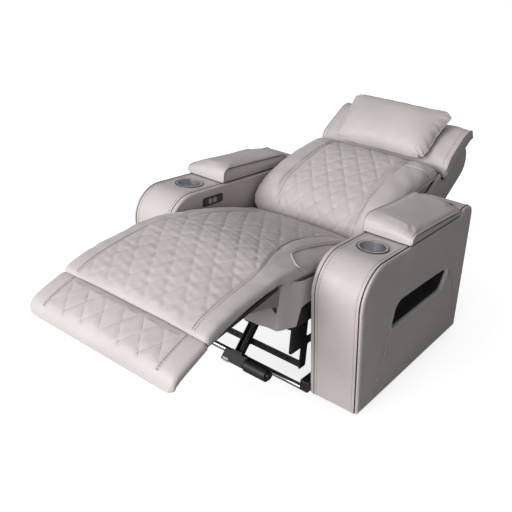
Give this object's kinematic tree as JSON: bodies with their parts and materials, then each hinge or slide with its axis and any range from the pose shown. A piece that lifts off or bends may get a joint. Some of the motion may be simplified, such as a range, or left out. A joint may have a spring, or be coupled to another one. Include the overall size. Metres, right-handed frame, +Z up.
{
  "type": "power recliner armchair",
  "caption": "Leather recliner armchair, laid back with its footrest out, with quilted cushions, a head pillow, padded storage arms with cup holders, and a motor linkage.",
  "frame": {"origin": "centre of the overall bounding box, on the floor", "axes": "+Z up, the sitter faces -Y, +X to the right in a front view, rest is the pictured reclined pose"},
  "size_m": [0.96, 1.7193, 0.8127],
  "materials": {
    "leather": "fine grain warm light grey upholstery leather with dashed stitching",
    "plywood": "raw plywood",
    "steel_cup": "polished stainless steel",
    "black_plastic": "matt black moulded plastic",
    "black_steel": "satin black powder coat",
    "zinc_steel": "bright zinc plate",
    "webbing": "woven elastic webbing",
    "button_plastic": "smooth dark grey plastic"
  },
  "bodies": {
    "base": {"arm_cover_left": "leather", "arm_cover_right": "leather", "arm_frames": "plywood", "arm_panel_inner_left": "leather", "arm_panel_inner_right": "leather", "arm_panel_outer_left": "leather", "arm_panel_outer_right": "leather", "base_side_left": "black_steel", "base_side_right": "black_steel", "control_bezel": "black_plastic", "cup_holder_left": "steel_cup", "cup_holder_right": "steel_cup", "front_cross_tube": "zinc_steel", "glides": "black_plastic", "lid_hinges": "zinc_steel", "rear_cross_tube": "zinc_steel", "side_pockets": "black_plastic", "storage_bin_left": "black_plastic", "storage_bin_right": "black_plastic"},
    "left_lid": {"lid_pad_left": "leather", "lid_board_left": "plywood"},
    "right_lid": {"lid_pad_right": "leather", "lid_board_right": "plywood"},
    "front_links": {"front_swing_links": "black_steel"},
    "rear_links": {"rear_swing_links": "black_steel"},
    "seat": {"seat_plate_left": "black_steel", "seat_plate_right": "black_steel", "seat_box": "plywood", "seat_straps": "webbing", "seat_cushion": "leather", "seat_angle": "black_steel", "drive_rail": "zinc_steel", "drive_motor": "black_plastic", "back_rail": "zinc_steel", "back_motor": "black_plastic", "seat_tube": "zinc_steel"},
    "crank": {"torque_tube": "black_steel"},
    "push_links": {"push_links": "black_steel"},
    "footrest": {"foot_brackets": "black_steel", "foot_board": "plywood", "foot_pad": "leather", "foot_hinge": "zinc_steel"},
    "flap": {"flap_board": "plywood", "flap_pad": "leather", "flap_hinge": "zinc_steel"},
    "drive_nut": {"drive_carriage": "black_plastic"},
    "back_nut": {"back_carriage": "black_plastic"},
    "back": {"back_frame": "plywood", "back_shell": "leather", "back_crank_arm": "black_steel", "back_cushion": "leather", "back_hinges": "black_steel", "head_brackets": "black_steel"},
    "headrest": {"head_board": "plywood", "head_pad": "leather", "pillow": "leather"},
    "recline_key": {"recline_button": "button_plastic"},
    "upright_key": {"upright_button": "button_plastic"},
    "headrest_key": {"headrest_button": "button_plastic"},
    "power_key": {"power_button": "button_plastic"}
  },
  "joints": [
    {"name": "seat_swing", "type": "hinge", "parent": "base", "child": "front_links", "pos_m": [0, -0.104, 0.095], "axis": [-1, 0, 0], "range_deg": [0, 60]},
    {"name": "rear_swing", "type": "hinge", "parent": "base", "child": "rear_links", "pos_m": [0, 0.176, 0.095], "axis": [-1, 0, 0], "range_deg": [0, 60.5]},
    {"name": "seat_level", "type": "hinge", "parent": "front_links", "child": "seat", "pos_m": [0, -0.164, 0.19892], "axis": [-1, 0, 0], "range_deg": [-60.5, 0]},
    {"name": "crank_turn", "type": "hinge", "parent": "seat", "child": "crank", "pos_m": [0, -0.262, 0.268], "axis": [1, 0, 0], "range_deg": [0, 79.5]},
    {"name": "push_turn", "type": "hinge", "parent": "crank", "child": "push_links", "pos_m": [0, -0.31949, 0.29123], "axis": [-1, 0, 0], "range_deg": [0, 79.5]},
    {"name": "footrest_swing", "type": "hinge", "parent": "seat", "child": "footrest", "pos_m": [0, -0.372, 0.398], "axis": [1, 0, 0], "range_deg": [0, 79.5]},
    {"name": "flap_fold", "type": "hinge", "parent": "footrest", "child": "flap", "pos_m": [0, -0.72386, 0.3948], "axis": [1, 0, 0], "range_deg": [0, 161.2]},
    {"name": "drive_travel", "type": "slide", "parent": "seat", "child": "drive_nut", "axis": [0, 0.6293, 0.7771], "range_m": [0, 0.0792]},
    {"name": "back_recline", "type": "hinge", "parent": "seat", "child": "back", "pos_m": [0, 0.224, 0.365], "axis": [1, 0, 0], "range_deg": [0, 40]},
    {"name": "back_travel", "type": "slide", "parent": "seat", "child": "back_nut", "axis": [0, 0.9781, 0.2079], "range_m": [0, 0.0619]},
    {"name": "headrest_tilt", "type": "hinge", "parent": "back", "child": "headrest", "pos_m": [0, 0.64886, 0.5792], "axis": [1, 0, 0], "range_deg": [0, 20]},
    {"name": "left_lid_lift", "type": "hinge", "parent": "base", "child": "left_lid", "pos_m": [-0.3875, 0.38, 0.57], "axis": [-1, 0, 0], "range_deg": [0, 85]},
    {"name": "right_lid_lift", "type": "hinge", "parent": "base", "child": "right_lid", "pos_m": [0.3875, 0.38, 0.57], "axis": [-1, 0, 0], "range_deg": [0, 85]},
    {"name": "recline_press", "type": "slide", "parent": "base", "child": "recline_key", "axis": [-1, 0, 0], "range_m": [0, 0.0012], "stiffness_N_per_m": 400, "springref_m": -0.0005},
    {"name": "upright_press", "type": "slide", "parent": "base", "child": "upright_key", "axis": [-1, 0, 0], "range_m": [0, 0.0012], "stiffness_N_per_m": 400, "springref_m": -0.0005},
    {"name": "headrest_press", "type": "slide", "parent": "base", "child": "headrest_key", "axis": [-1, 0, 0], "range_m": [0, 0.0012], "stiffness_N_per_m": 400, "springref_m": -0.0005},
    {"name": "power_press", "type": "slide", "parent": "base", "child": "power_key", "axis": [-1, 0, 0], "range_m": [0, 0.0012], "stiffness_N_per_m": 400, "springref_m": -0.0005}
  ],
  "couplings": [
    {"joint": "rear_swing", "follows": "seat_swing", "ratio": 1},
    {"joint": "seat_level", "follows": "seat_swing", "ratio": -1},
    {"joint": "crank_turn", "follows": "seat_swing", "ratio": 1.3167},
    {"joint": "push_turn", "follows": "seat_swing", "ratio": 1.3167},
    {"joint": "footrest_swing", "follows": "seat_swing", "ratio": 1.3167},
    {"joint": "flap_fold", "follows": "seat_swing", "ratio": 2.6783},
    {"joint": "drive_travel", "follows": "seat_swing", "m_per_rad": 0.075319},
    {"joint": "back_travel", "follows": "back_recline", "m_per_rad": 0.088183}
  ]
}
